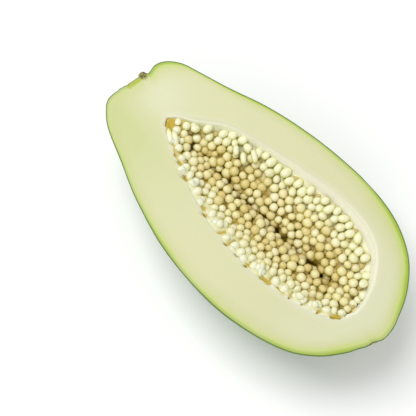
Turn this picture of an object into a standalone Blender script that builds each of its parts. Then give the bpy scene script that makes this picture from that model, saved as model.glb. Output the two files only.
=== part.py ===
# Half of a green papaya, cut lengthwise and lying on its back, with the seeds still in it.
#
# +X runs from the stalk scar to the blossom end, +Y across the fruit and +Z out of the cut face.
# The origin lies on the surface under the middle of the fruit. Outlines are in millimetres from the
# stalk scar, in the plane of the cut, and depths are measured down from that plane.

import math
import random

import bmesh
import bpy
from mathutils import Matrix, Vector
from mathutils.bvhtree import BVHTree

MM = 0.001

# The fruit
CUT_HEIGHT = 62.0  # the cut face above the surface that the half lies on
ORIGIN_X = 118.95  # from the stalk scar to the middle of the fruit's box
ORIGIN_Y = 5.4
RIB_SHARE = 0.014  # how far the five carpels swell the skin
CAVITY_RIB_SHARE = 0.05
SKIN_SEGMENTS = 44  # round the whole fruit, half of which is kept
SKIN_RINGS = 3  # from one station to the next
CAVITY_SEGMENTS = 28
CAVITY_RINGS = 3

# The stalk scar, a low corky disc with the end of the stalk standing on its edge
SCAR_RADIUS = 8.0
SCAR_FRONT_X = -0.5
SCAR_CENTRE_Y = 1.2
SCAR_DEPTH = 7.0
KNOB_RADIUS = 3.1
KNOB_PLACE = (1.7, 6.1, -0.6)

# The seeds
SEED_RADIUS = 3.05
SEED_STRETCH = 1.1  # length over width, along the stalk
SEED_PITCH = 6.1
SEED_JITTER = 0.4
SEED_SPACING = 4.9  # the least distance between two seeds' middles
SEED_DRAW = 11  # seeds the random draw
BED_SINK = 2.0  # the bed's surface below the seeds' middles
BED_SHARE = 0.47  # the trough's depth, as a share of the cavity's
LINING_GAP = 0.45  # from the cavity's wall to the bed
SEED_CLEARANCE = 3.95  # from the wall to a seed's middle
FAR_RIM_DROP = 5.0  # how far below the cut the seeds begin, on the +Y side
NEAR_RIM_DROP = 3.4
FAR_RIM_INSET = 6.2  # how far inside the rim they begin
NEAR_RIM_INSET = 3.8
TROUGH_POWER = 1.5

# Stations along the skin: the edge on the +Y side, the edge on the -Y side, and the back's depth
SKIN = (
    ((0.5, 2.0), (0.5, 2.0), 0.0),
    ((2.2, 9.2), (-0.2, -5.0), 7.0),
    ((0.2, 16.7), (-1.2, -11.0), 13.5),
    ((1.7, 23.1), (-1.9, -17.0), 19.5),
    ((6.3, 28.8), (-0.7, -23.0), 25.5),
    ((13.1, 33.4), (3.7, -28.3), 31.0),
    ((25.6, 38.0), (15.5, -36.0), 38.0),
    ((46.0, 45.5), (38.0, -43.5), 46.5),
    ((74.0, 57.0), (66.0, -53.0), 56.5),
    ((106.0, 65.5), (100.0, -59.6), 62.6),
    ((136.0, 70.3), (132.0, -61.0), 63.2),
    ((163.0, 71.8), (160.0, -58.5), 60.2),
    ((189.0, 68.4), (185.0, -51.8), 54.0),
    ((211.0, 58.4), (206.0, -42.5), 45.5),
    ((227.0, 42.5), (220.5, -30.0), 33.0),
    ((236.5, 24.0), (229.5, -16.3), 18.5),
    ((239.8, 12.5), (234.0, -6.0), 9.0),
    ((238.0, 3.0), (238.0, 3.0), 0.0),
)

# Stations along the seed cavity, in the same terms
CAVITY = (
    ((35.4, 0.6), (35.4, 0.6), 0.0),
    ((40.2, 7.4), (39.6, -5.0), 7.0),
    ((50.0, 16.4), (50.0, -10.2), 13.5),
    ((68.4, 28.4), (70.0, -16.6), 21.0),
    ((95.3, 38.6), (95.0, -22.8), 27.5),
    ((122.0, 45.9), (122.0, -26.0), 31.5),
    ((148.7, 51.0), (148.0, -25.6), 33.0),
    ((172.0, 51.8), (172.0, -20.8), 31.5),
    ((192.0, 45.8), (192.0, -14.2), 26.0),
    ((206.0, 31.5), (206.0, -6.8), 17.0),
    ((212.5, 18.0), (212.0, -0.6), 9.5),
    ((215.0, 7.5), (215.0, 7.5), 0.0),
)
FAR_WALL_SLOPE = 0.14  # how far the cavity's wall leans in, on the +Y side
NEAR_WALL_SLOPE = 0.03


def in_row(x, y, z):
    """A point measured from the stalk scar in the cut plane, in the part's own frame and metres."""
    return Vector((x - ORIGIN_X, y - ORIGIN_Y, z + CUT_HEIGHT)) * MM


def curve_through(values, t):
    """Catmull-Rom curve through evenly spaced values; t counts the values from 0."""
    last = len(values) - 1
    t = min(max(t, 0.0), last)
    k = min(int(t), last - 1)
    f = t - k
    b, c = values[k], values[k + 1]
    a = values[k - 1] if k else 2 * b - c
    d = values[k + 2] if k + 2 <= last else 2 * c - b
    return b + 0.5 * f * (c - a + f * (2 * a - 5 * b + 4 * c - d + f * (3 * (b - c) + d - a)))


def station(rows, t):
    """(x, y) on the +Y side, (x, y) on the -Y side and the depth, at t stations from the stalk end."""
    far_x, far_y, near_x, near_y, depth = (
        curve_through([pick(row) for row in rows], t)
        for pick in (
            lambda row: row[0][0],
            lambda row: row[0][1],
            lambda row: row[1][0],
            lambda row: row[1][1],
            lambda row: row[2],
        )
    )
    return (far_x, far_y), (near_x, near_y), max(depth, 0.0)


def five_ribs(angle, share):
    """Swells a section over the five carpels, and leaves it alone in the plane of the cut."""
    return 1.0 + share * 0.5 * (math.cos(5 * angle) - math.cos(angle))


def skin_point(t, angle):
    """A point of the skin: angle 0 is the +Y edge of the cut, a half turn the -Y edge, between them the back."""
    far, near, depth = station(SKIN, t)
    across = 0.5 * math.cos(angle) * five_ribs(angle, RIB_SHARE)
    x = 0.5 * (far[0] + near[0]) + across * (far[0] - near[0])
    y = 0.5 * (far[1] + near[1]) + across * (far[1] - near[1])
    z = -depth * math.sin(angle) * five_ribs(angle, RIB_SHARE)
    return in_row(x, y, max(z, -CUT_HEIGHT))


def cavity_point(t, angle):
    """A point of the cavity's wall, closed over the cut by a plain dome."""
    far, near, depth = station(CAVITY, t)
    across, down = math.cos(angle), math.sin(angle)
    if down > 0:
        slope = FAR_WALL_SLOPE if across > 0 else NEAR_WALL_SLOPE
        swell = five_ribs(angle, CAVITY_RIB_SHARE)
        across, down = across * swell * (1 - slope * down), down * swell
    x = 0.5 * (far[0] + near[0] + across * (far[0] - near[0]))
    y = 0.5 * (far[1] + near[1] + across * (far[1] - near[1]))
    return in_row(x, y, -depth * down)


def section_near(x):
    """The cavity's edges across the fruit at x, and its depth there, by halving the stations."""
    low, high = 0.0, len(CAVITY) - 1.0
    for _ in range(20):
        middle = 0.5 * (low + high)
        far, near, _ = station(CAVITY, middle)
        if 0.5 * (far[0] + near[0]) < x:
            low = middle
        else:
            high = middle
    far, near, depth = station(CAVITY, low)
    return far[1], near[1], depth


SECTIONS = [section_near(x) for x in range(20, 230)]


def cavity_section(x):
    """The same, read between the millimetres of the table."""
    place = min(max(x - 20.0, 0.0), len(SECTIONS) - 1.001)
    k = int(place)
    return tuple(a + (place - k) * (b - a) for a, b in zip(SECTIONS[k], SECTIONS[k + 1]))


def bed_depth(x, y):
    """How far the seeds' middles lie below the cut: shallow at the rim, deepest along the trough."""
    far_y, near_y, depth = cavity_section(x)
    trough_y = 0.45 * 0.5 * (far_y + near_y)
    rim = FAR_RIM_DROP if y > trough_y else NEAR_RIM_DROP
    reach = (far_y if y > trough_y else near_y) - trough_y
    share = min(1.0, abs((y - trough_y) / reach)) if abs(reach) > 1e-6 else 1.0
    return rim + max(0.0, BED_SHARE * depth - rim) * (1 - share**TROUGH_POWER)


def bed_normal(x, y):
    """The seed bed's outward direction, from its slope each way."""
    step = 0.5
    down_x = (bed_depth(x + step, y) - bed_depth(x - step, y)) / (2 * step)
    down_y = (bed_depth(x, y + step) - bed_depth(x, y - step)) / (2 * step)
    return Vector((down_x, down_y, 1.0)).normalized()


def clear_of_wall(x, y, wall):
    """The middle of a seed of the bed at (x, y), moved across until it clears the cavity's wall."""
    for _ in range(8):
        middle = in_row(x, y, -bed_depth(x, y))
        nearest, _, _, distance = wall.find_nearest(middle)
        short = SEED_CLEARANCE * MM - distance
        if short <= 0:
            far_y, near_y, _ = cavity_section(x)
            return x, y, middle if near_y < y < far_y else None
        away = (middle - nearest).xy.normalized() * (1.1 * short / MM)
        x, y = x + away.x, y + away.y
    return x, y, None


def seed_places(wall):
    """(middle, outward direction) of each seed: staggered rows across the bed, each seed nudged at random."""
    draw = random.Random(SEED_DRAW)
    places = []
    x = CAVITY[0][0][0] + 8.0
    staggered = False
    while x < CAVITY[-1][0][0] - 4.0:
        far_y, near_y, _ = cavity_section(x)
        y = near_y + NEAR_RIM_INSET + (0.5 * SEED_PITCH if staggered else 0.0)
        far_end = far_y - FAR_RIM_INSET * min(1.0, (far_y - near_y) / 50.0)
        while y <= far_end:
            nudge_x, nudge_y = draw.uniform(-SEED_JITTER, SEED_JITTER), draw.uniform(-SEED_JITTER, SEED_JITTER)
            lift = draw.uniform(-SEED_JITTER, SEED_JITTER)
            seed_x, seed_y, middle = clear_of_wall(x + nudge_x, y + nudge_y, wall)
            if middle is not None:
                normal = bed_normal(seed_x, seed_y)
                middle = middle + normal * lift * MM
                if all((middle - other).length > SEED_SPACING * MM for other, _ in places):
                    places.append((middle, normal))
            y += SEED_PITCH * max(0.4, bed_normal(x, y + 0.5 * SEED_PITCH).z)
        x += 0.866 * SEED_PITCH
        staggered = not staggered
    return places


def collection_named(name):
    made = bpy.data.collections.new(name)
    bpy.context.scene.collection.children.link(made)
    return made


def object_from(bm, name, collection, *materials):
    """A new object with the bmesh's shape, smooth but for edges over 40 degrees."""
    mesh = bpy.data.meshes.new(name)
    bmesh.ops.recalc_face_normals(bm, faces=bm.faces)
    bm.to_mesh(mesh)
    bm.free()
    for material in materials:
        mesh.materials.append(material)
    mesh.shade_smooth()
    mesh.set_sharp_from_angle(angle=math.radians(40))
    made = bpy.data.objects.new(name, mesh)
    collection.objects.link(made)
    return made


def principled(name, colour, roughness):
    material = bpy.data.materials.new(name)
    material.use_nodes = True
    shader = material.node_tree.nodes["Principled BSDF"]
    shader.inputs["Base Color"].default_value = (*colour, 1.0)
    shader.inputs["Roughness"].default_value = roughness
    shader.inputs["Metallic"].default_value = 0.0
    material.diffuse_color = (*colour, 1.0)
    return material


def lengthwise_sphere(segments, stations, rings_a_station):
    """A unit sphere with its poles on the X axis, its rings spaced along the stations."""
    bm = bmesh.new()
    rings = rings_a_station * (stations - 1)
    bmesh.ops.create_uvsphere(bm, u_segments=segments, v_segments=rings, radius=1.0)
    bmesh.ops.rotate(bm, verts=bm.verts, matrix=Matrix.Rotation(math.radians(90), 3, "Y"))
    return bm


def wrap(bm, point_at, stations):
    """Moves each point of the unit sphere to the fruit's surface with the same station and angle."""
    for vertex in bm.verts:
        t = math.acos(max(-1.0, min(1.0, -vertex.co.x))) / math.pi * (stations - 1)
        vertex.co = point_at(t, math.atan2(-vertex.co.z, vertex.co.y))


def make_fruit(collection, skin, flesh):
    """The whole fruit, a sphere wrapped on the stations."""
    bm = lengthwise_sphere(SKIN_SEGMENTS, len(SKIN), SKIN_RINGS)
    wrap(bm, skin_point, len(SKIN))
    return object_from(bm, "papaya_half", collection, skin, flesh)


def keep_below_cut(bm):
    """Cuts the shape level with the cut and leaves it open there."""
    bmesh.ops.bisect_plane(
        bm,
        geom=[*bm.verts, *bm.edges, *bm.faces],
        dist=5e-5,
        plane_co=(0, 0, CUT_HEIGHT * MM),
        plane_no=(0, 0, 1),
        clear_outer=True,
    )
    level = {v for v in bm.verts if v.co.z > (CUT_HEIGHT - 0.06) * MM}
    for vertex in level:
        vertex.co.z = CUT_HEIGHT * MM
    lying = [f for f in bm.faces if level.issuperset(f.verts)]
    bmesh.ops.delete(bm, geom=lying, context="FACES")
    bmesh.ops.remove_doubles(bm, verts=bm.verts, dist=9e-5)


def cut_in_half(fruit):
    """Halves the fruit, lines it with the cavity's wall and spans the cut face between the two."""
    wall = cavity_shape()
    keep_below_cut(wall)
    bmesh.ops.reverse_faces(wall, faces=wall.faces)
    for face in wall.faces:
        face.material_index = 1
    lining = bpy.data.meshes.new("cavity_wall")
    wall.to_mesh(lining)
    wall.free()
    bm = bmesh.new()
    bm.from_mesh(fruit.data)
    keep_below_cut(bm)
    bm.from_mesh(lining)
    bpy.data.meshes.remove(lining)
    rims = [e for e in bm.edges if e.is_boundary]
    for piece in bmesh.ops.triangle_fill(bm, use_beauty=True, edges=rims, normal=(0, 0, 1))["geom"]:
        if isinstance(piece, bmesh.types.BMFace):
            piece.material_index = 1
    bmesh.ops.recalc_face_normals(bm, faces=bm.faces)
    bm.to_mesh(fruit.data)
    bm.free()
    fruit.data.shade_smooth()
    fruit.data.set_sharp_from_angle(angle=math.radians(40))


def cavity_shape(inset=0.0):
    """The closed shape of the cavity, drawn in by an inset along its own normals."""
    bm = lengthwise_sphere(CAVITY_SEGMENTS, len(CAVITY), CAVITY_RINGS)
    wrap(bm, cavity_point, len(CAVITY))
    bmesh.ops.recalc_face_normals(bm, faces=bm.faces)
    bm.normal_update()
    shifts = [vertex.normal * inset * MM for vertex in bm.verts]
    for vertex, shift in zip(bm.verts, shifts):
        vertex.co -= shift
    return bm


def make_scar(collection, material):
    """The corky disc and the stalk's knob, sunk in the end of the fruit."""
    bm = bmesh.new()
    bmesh.ops.create_cone(
        bm,
        cap_ends=True,
        segments=18,
        radius1=SCAR_RADIUS * MM,
        radius2=0.84 * SCAR_RADIUS * MM,
        depth=SCAR_DEPTH * MM,
    )
    bmesh.ops.rotate(bm, verts=bm.verts, matrix=Matrix.Rotation(math.radians(-90), 3, "Y"))
    middle = in_row(SCAR_FRONT_X + 0.5 * SCAR_DEPTH, SCAR_CENTRE_Y, 0.0)
    bmesh.ops.translate(bm, verts=bm.verts, vec=middle)
    object_from(bm, "scar_disc", collection, material)
    bm = bmesh.new()
    bmesh.ops.create_icosphere(bm, subdivisions=2, radius=KNOB_RADIUS * MM)
    bmesh.ops.translate(bm, verts=bm.verts, vec=in_row(*KNOB_PLACE))
    object_from(bm, "stalk_knob", collection, material)


def make_hollow(collection, material):
    """The cutter over the seed bed: a grid laid on the bed's surface and drawn up past the cut."""
    columns, rows = 16, 9
    low_x, high_x = CAVITY[0][0][0] - 6.0, CAVITY[-1][0][0] + 6.0
    low_y, high_y = -36.0, 60.0
    bm = bmesh.new()
    bmesh.ops.create_grid(bm, x_segments=columns, y_segments=rows, size=1.0)
    for vertex in bm.verts:
        x = low_x + 0.5 * (vertex.co.x + 1) * (high_x - low_x)
        y = low_y + 0.5 * (vertex.co.y + 1) * (high_y - low_y)
        vertex.co = in_row(x, y, -bed_depth(x, y) - BED_SINK)
    raised = bmesh.ops.extrude_face_region(bm, geom=bm.faces[:])["geom"]
    for vertex in (v for v in raised if isinstance(v, bmesh.types.BMVert)):
        vertex.co.z = (CUT_HEIGHT + 60.0) * MM
    return object_from(bm, "hollow_over_bed", collection, material)


def make_seeds(collection, material):
    """Every seed as an icosahedron stretched along its stalk."""
    draw = random.Random(SEED_DRAW + 1)
    bm = bmesh.new()
    bmesh.ops.create_icosphere(bm, subdivisions=1, radius=SEED_RADIUS * MM)
    bmesh.ops.scale(bm, verts=bm.verts, vec=(1, 1, SEED_STRETCH))
    shape = object_from(bm, "seed", collection, material).data
    bpy.data.objects.remove(bpy.data.objects["seed"])
    cavity = cavity_shape()
    wall = BVHTree.FromBMesh(cavity)
    cavity.free()
    for number, (middle, normal) in enumerate(seed_places(wall)):
        seed = bpy.data.objects.new(f"seed_{number:03d}", shape)
        collection.objects.link(seed)
        turn = normal.to_track_quat("Z", "Y") @ Matrix.Rotation(draw.uniform(0, 6.283), 3, "Z").to_quaternion()
        seed.matrix_world = Matrix.LocRotScale(middle, turn, Vector((1, 1, 1)) * draw.uniform(0.94, 1.06))


def boolean(target, operation, operand, solver="EXACT"):
    """Adds a Boolean with an object or with a whole collection."""
    modifier = target.modifiers.new(operation.lower(), "BOOLEAN")
    modifier.operation = operation
    modifier.solver = solver
    if isinstance(operand, bpy.types.Collection):
        modifier.operand_type = "COLLECTION"
        modifier.collection = operand
    else:
        modifier.object = operand
    if solver == "EXACT":
        modifier.material_mode = "TRANSFER"
    return modifier


def apply_modifiers(target):
    """Replaces the object's mesh by what its modifiers make of it."""
    bpy.context.view_layer.update()
    graph = bpy.context.evaluated_depsgraph_get()
    made = bpy.data.meshes.new_from_object(target.evaluated_get(graph))
    target.modifiers.clear()
    target.data = made
    made.shade_smooth()
    made.set_sharp_from_angle(angle=math.radians(40))


def remove_with_objects(collection):
    for obj in list(collection.objects):
        bpy.data.objects.remove(obj)
    bpy.data.collections.remove(collection)


def build():
    for obj in list(bpy.data.objects):
        bpy.data.objects.remove(obj)
    papaya = collection_named("papaya")
    cutters = collection_named("cutters")
    skin = principled("skin", (0.07, 0.27, 0.03), 0.3)
    flesh = principled("flesh", (0.76, 0.76, 0.50), 0.45)
    seed_coat = principled("seed_coat", (0.80, 0.70, 0.46), 0.4)

    fruit = make_fruit(papaya, skin, flesh)
    scar = collection_named("scar_pieces")
    make_scar(scar, skin)
    boolean(fruit, "UNION", scar)
    apply_modifiers(fruit)
    remove_with_objects(scar)
    cut_in_half(fruit)

    seeds = object_from(cavity_shape(LINING_GAP), "seed_mass", papaya, seed_coat)
    boolean(seeds, "DIFFERENCE", make_hollow(cutters, seed_coat))
    loose = collection_named("loose_seeds")
    make_seeds(loose, seed_coat)
    boolean(seeds, "UNION", loose, solver="MANIFOLD")
    apply_modifiers(seeds)
    remove_with_objects(loose)

    for cutter in cutters.objects:
        cutter.hide_render = True
        cutter.display_type = "WIRE"


build()
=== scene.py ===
import math
import random

import bpy
import numpy as np
from mathutils import Matrix, Vector


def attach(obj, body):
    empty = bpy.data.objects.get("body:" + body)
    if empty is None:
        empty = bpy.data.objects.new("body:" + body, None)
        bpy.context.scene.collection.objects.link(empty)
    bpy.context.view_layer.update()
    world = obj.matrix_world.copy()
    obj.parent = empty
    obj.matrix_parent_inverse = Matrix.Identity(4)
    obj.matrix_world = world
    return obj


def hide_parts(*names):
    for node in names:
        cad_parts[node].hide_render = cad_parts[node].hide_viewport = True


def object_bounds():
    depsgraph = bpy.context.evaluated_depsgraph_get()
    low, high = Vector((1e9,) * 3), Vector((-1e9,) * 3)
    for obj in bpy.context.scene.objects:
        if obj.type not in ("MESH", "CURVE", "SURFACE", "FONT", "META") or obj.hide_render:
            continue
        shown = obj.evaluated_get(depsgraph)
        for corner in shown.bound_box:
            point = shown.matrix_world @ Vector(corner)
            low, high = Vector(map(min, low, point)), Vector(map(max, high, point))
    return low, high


# Half of a green papaya on its back: skin, flesh, seed bed and seeds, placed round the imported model
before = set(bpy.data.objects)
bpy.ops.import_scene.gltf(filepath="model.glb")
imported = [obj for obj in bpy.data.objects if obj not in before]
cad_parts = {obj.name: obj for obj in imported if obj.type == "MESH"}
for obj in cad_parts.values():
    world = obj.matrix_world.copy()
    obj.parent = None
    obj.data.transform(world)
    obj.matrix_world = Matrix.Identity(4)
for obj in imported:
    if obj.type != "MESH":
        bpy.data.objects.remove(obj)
cadBox = [list(corner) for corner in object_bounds()]
mm = 0.001

# The fruit's plan, in mm from the stalk scar in the plane of the cut; z is measured from that plane
fruit = {
    "cutHeight": 62.0,
    "originX": 118.95,
    "originY": 5.4,
    "ribShare": 0.014,
    "skinThickness": 0.62,
    "middle": (120.0, 3.0, -20.0),  # a point well inside the half
}
# From stalk to blossom: x, y of the edge on the +Y side, of that on the -Y side, depth of the back
skinStations = (
    ((0.5, 2.0), (0.5, 2.0), 0.0),
    ((2.2, 9.2), (-0.2, -5.0), 7.0),
    ((0.2, 16.7), (-1.2, -11.0), 13.5),
    ((1.7, 23.1), (-1.9, -17.0), 19.5),
    ((6.3, 28.8), (-0.7, -23.0), 25.5),
    ((13.1, 33.4), (3.7, -28.3), 31.0),
    ((25.6, 38.0), (15.5, -36.0), 38.0),
    ((46.0, 45.5), (38.0, -43.5), 46.5),
    ((74.0, 57.0), (66.0, -53.0), 56.5),
    ((106.0, 65.5), (100.0, -59.6), 62.6),
    ((136.0, 70.3), (132.0, -61.0), 63.2),
    ((163.0, 71.8), (160.0, -58.5), 60.2),
    ((189.0, 68.4), (185.0, -51.8), 54.0),
    ((211.0, 58.4), (206.0, -42.5), 45.5),
    ((227.0, 42.5), (220.5, -30.0), 33.0),
    ((236.5, 24.0), (229.5, -16.3), 18.5),
    ((239.8, 12.5), (234.0, -6.0), 9.0),
    ((238.0, 3.0), (238.0, 3.0), 0.0),
)
cavity = {
    "ribShare": 0.05,
    "farSlope": 0.16,  # how far the wall leans in on the +Y side
    "nearSlope": 0.05,
    "farRound": 0.04,  # the soft shoulder under the +Y rim
    "nearRound": 0.01,
    "roundRate": 7.0,  # how soon the shoulder is over, going down
}
cavityStations = (
    ((35.4, 0.6), (35.4, 0.6), 0.0),
    ((40.4, 6.6), (39.6, -5.0), 7.0),
    ((51.3, 14.0), (50.0, -10.2), 13.5),
    ((68.4, 28.4), (70.0, -16.6), 21.0),
    ((95.3, 38.6), (95.0, -22.8), 27.5),
    ((122.0, 45.9), (122.0, -26.0), 31.5),
    ((148.7, 51.0), (148.0, -25.6), 33.0),
    ((172.0, 51.8), (172.0, -20.8), 31.5),
    ((192.0, 45.8), (192.0, -14.2), 26.0),
    ((206.0, 31.5), (206.0, -6.8), 17.0),
    ((212.5, 18.0), (212.0, -0.6), 9.5),
    ((215.0, 7.5), (215.0, 7.5), 0.0),
)


def fade(value, zeroAt, oneAt):  # from 0 to 1 between two values, and flat past them
    return np.clip((value - zeroAt) / (oneAt - zeroAt), 0, 1)


def softNoise(points, size, seed=0):  # smooth random values from -1 to 1, alike over about size mm
    p = np.asarray(points, float) / size + seed * 17.31
    cell = np.floor(p).astype(np.int64)
    f = p - cell
    f = f * f * (3 - 2 * f)
    total = np.zeros(len(p))
    for corner in range(8):
        step = np.array([corner & 1, corner >> 1 & 1, corner >> 2 & 1])
        h = ((cell + step) * np.array([374761393, 668265263, 2147483647 // 7])).sum(1) + seed * 974634777
        h = (h ^ (h >> 13)) * 1274126177
        h = (h ^ (h >> 16)) & 0xFFFFFF
        weight = np.prod(np.where(step == 1, f, 1 - f), axis=1)
        total += weight * (h / 0x7FFFFF - 1.0)
    return total


def curveThrough(table, t):  # Catmull-Rom through the rows of a table, t an array counted in rows
    last = len(table) - 1
    t = np.clip(np.asarray(t, float), 0.0, last)
    k = np.minimum(t.astype(int), last - 1)
    f = (t - k)[..., None]
    b, c = table[k], table[k + 1]
    a = np.where((k > 0)[..., None], table[np.maximum(k - 1, 0)], 2 * b - c)
    d = np.where((k + 2 <= last)[..., None], table[np.minimum(k + 2, last)], 2 * c - b)
    return b + 0.5 * f * (c - a + f * (2 * a - 5 * b + 4 * c - d + f * (3 * (b - c) + d - a)))


def stationTable(rows):
    return np.array([[far[0], far[1], near[0], near[1], depth] for far, near, depth in rows])


skinTable = stationTable(skinStations)
cavityTable = stationTable(cavityStations)


def ribs(angle, share):  # five carpels, none in the plane of the cut
    return 1.0 + share * 0.5 * (np.cos(5 * angle) - np.cos(angle))


def sphereAngles(p, rows):  # unit sphere points to station and angle round the long axis
    t = np.arccos(np.clip(-p[:, 0], -1, 1)) / math.pi * (rows - 1)
    return t, np.arctan2(-p[:, 2], p[:, 1])


def bowlPoints(table, t, angle, ribShare, down, squeeze=1.0):
    farX, farY, nearX, nearY, depth = curveThrough(table, t).T
    swell = ribs(angle, ribShare)
    across = 0.5 * np.cos(angle) * swell * squeeze
    x = 0.5 * (farX + nearX) + across * (farX - nearX)
    y = 0.5 * (farY + nearY) + across * (farY - nearY)
    return np.stack([x, y, -np.maximum(depth, 0) * down * swell], 1)


def skinPoints(p):
    t, angle = sphereAngles(p, len(skinTable))
    return bowlPoints(skinTable, t, angle, fruit["ribShare"], np.sin(angle))


def cavityPoints(p):
    t, angle = sphereAngles(p, len(cavityTable))
    down = np.maximum(np.sin(angle), 0)
    slope = np.where(np.cos(angle) > 0, cavity["farSlope"], cavity["nearSlope"])
    shoulder = np.where(np.cos(angle) > 0, cavity["farRound"], cavity["nearRound"])
    squeeze = 1 - slope * down - shoulder * (1 - np.exp(-cavity["roundRate"] * down))
    return bowlPoints(cavityTable, t, angle, cavity["ribShare"], down, squeeze)


def toFrame(points):  # mm from the stalk scar to metres in the part's own frame
    shift = np.array([-fruit["originX"], -fruit["originY"], fruit["cutHeight"]])
    return (np.asarray(points) + shift) * mm


# The cavity's two edges and its depth, looked up every half millimetre of x
sectionX = np.arange(20.0, 230.0, 0.5)
sectionRows = curveThrough(cavityTable, np.linspace(0, len(cavityTable) - 1, 2000))
sectionMiddle = 0.5 * (sectionRows[:, 0] + sectionRows[:, 2])
sectionTable = np.stack([np.interp(sectionX, sectionMiddle, sectionRows[:, k]) for k in (1, 3, 4)], 1)


def sectionAt(x):  # the cavity's +Y edge, -Y edge and depth at x
    return tuple(np.interp(x, sectionX, sectionTable[:, k]) for k in range(3))


# Where the middles of the top seeds lie, and the bed that follows below them
bed = {
    "sink": (3.6, 1.1),  # below the middles of the top seeds, in the trough and on the slopes
    "sinkFrom": (0.1, 0.4),  # as shares of the way to the rim
    "rimRise": (-0.9, 3.6),  # the seeds of the rims are sunk deeper in it, +Y side and -Y side
    "riseFrom": (0.45, 0.9),
    "troughShare": 0.225,  # its y, as a share of the two edges' sum
    "share": 0.47,  # its depth, as a share of the cavity's
    "farDrop": 4.6,  # depth at the rims
    "nearDrop": 2.9,
    "power": 1.5,
    # the dark valley between the seeds of the two sides: its line in x and y
    "valley": ((55.0, 62.0, 85.0, 93.0, 106.0, 126.0, 140.0, 147.0, 169.0, 175.0, 182.0, 190.0),
               (-2.0, -0.1, 4.1, 6.0, 4.0, 7.9, 8.8, 8.7, 10.0, 12.0, 10.1, 14.0)),
    "valleyDepth": 7.0,
    "valleyWidth": 3.1,
    "valleyFullDepth": 25.0,  # it shrinks where the cavity is less deep
    "valleyStart": (46.0, 80.0, 0.2),  # and from x to x, from this share on
    "tip": (36.0, 50.0, 1.5, 4.5),  # from x to x, and how deep it lies there
}


def troughAt(x, y):  # the trough's y, the way from it to the rim on this side, and the cavity's depth
    farY, nearY, depth = sectionAt(x)
    troughY = bed["troughShare"] * (farY + nearY)
    reach = np.where(y > troughY, farY, nearY) - troughY
    return troughY, np.where(np.abs(reach) < 1e-6, 1e-6, reach), depth


def bedDepth(x, y):
    troughY, reach, depth = troughAt(x, y)
    rim = np.where(y > troughY, bed["farDrop"], bed["nearDrop"])
    share = np.clip(np.abs((y - troughY) / reach), 0, 1)
    bowl = rim + np.maximum(0, bed["share"] * depth - rim) * (1 - share ** bed["power"])
    valleyY = np.interp(x, *bed["valley"])
    start, end, least = bed["valleyStart"]
    narrow = fade(depth, 0.0, bed["valleyFullDepth"]) * np.maximum(fade(x, start, end), least)
    return bowl + bed["valleyDepth"] * narrow * np.exp(-(((y - valleyY) / bed["valleyWidth"]) ** 2))


def bedShare(x, y):  # 0 along the trough, 1 at the +Y rim, -1 at the -Y rim
    troughY, reach, _ = troughAt(x, y)
    return np.clip((y - troughY) / np.abs(reach), -1, 1)


def setMode(mode):
    bpy.ops.object.mode_set(mode=mode)


def deselectAll():
    if bpy.context.object and bpy.context.object.mode != "OBJECT":
        setMode("OBJECT")
    bpy.ops.object.select_all(action="DESELECT")


def selectOnly(obj):
    deselectAll()
    obj.select_set(True)
    bpy.context.view_layer.objects.active = obj


def newSphere(name, segments, rings):
    deselectAll()
    bpy.ops.mesh.primitive_uv_sphere_add(segments=segments, ring_count=rings, radius=1.0, calc_uvs=False)
    made = bpy.context.object
    made.name = made.data.name = name
    return made


def newBowl(name, segments, rings):  # the lower half of a sphere
    bowl = newSphere(name, segments, rings)
    setMode("EDIT")
    bpy.ops.mesh.select_all(action="SELECT")
    bpy.ops.mesh.bisect(plane_co=(0, 0, 0), plane_no=(0, 0, 1), clear_outer=True, threshold=1e-4)
    setMode("OBJECT")
    bowl.data.validate()
    return bowl


def extrudeEdge(obj, times, edgeMask):  # new loops on top of the open edge, to be placed afterwards
    setMode("EDIT")
    bpy.ops.mesh.select_mode(type="VERT")
    bpy.ops.mesh.select_all(action="DESELECT")
    setMode("OBJECT")
    obj.data.vertices.foreach_set("select", edgeMask)
    setMode("EDIT")
    bpy.ops.mesh.select_mode(type="EDGE")
    for _ in range(times):
        bpy.ops.mesh.extrude_region_move()
    setMode("OBJECT")


def applyModifiers(obj):
    selectOnly(obj)
    for modifier in list(obj.modifiers):
        bpy.ops.object.modifier_apply(modifier=modifier.name)
    obj.select_set(False)


def meshPoints(obj):
    out = np.empty(len(obj.data.vertices) * 3)
    obj.data.vertices.foreach_get("co", out)
    return out.reshape(-1, 3)


def setPoints(obj, points):
    obj.data.vertices.foreach_set("co", np.asarray(points, float).ravel())
    obj.data.update()


def setAttribute(obj, name, values):
    layer = obj.data.attributes.get(name) or obj.data.attributes.new(name, "FLOAT", "POINT")
    layer.data.foreach_set("value", np.asarray(values, float).ravel())


def finishMesh(obj, material):
    selectOnly(obj)
    setMode("EDIT")
    bpy.ops.mesh.select_all(action="SELECT")
    bpy.ops.mesh.remove_doubles(threshold=1e-6)
    bpy.ops.mesh.normals_make_consistent(inside=False)
    setMode("OBJECT")
    bpy.ops.object.shade_smooth()
    obj.data.materials.clear()
    obj.data.materials.append(material)
    obj.select_set(False)


# Materials
def newMaterial(name):
    material = bpy.data.materials.new(name)
    material.use_nodes = True
    material.node_tree.nodes.clear()
    return material, Maker(material.node_tree)


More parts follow.
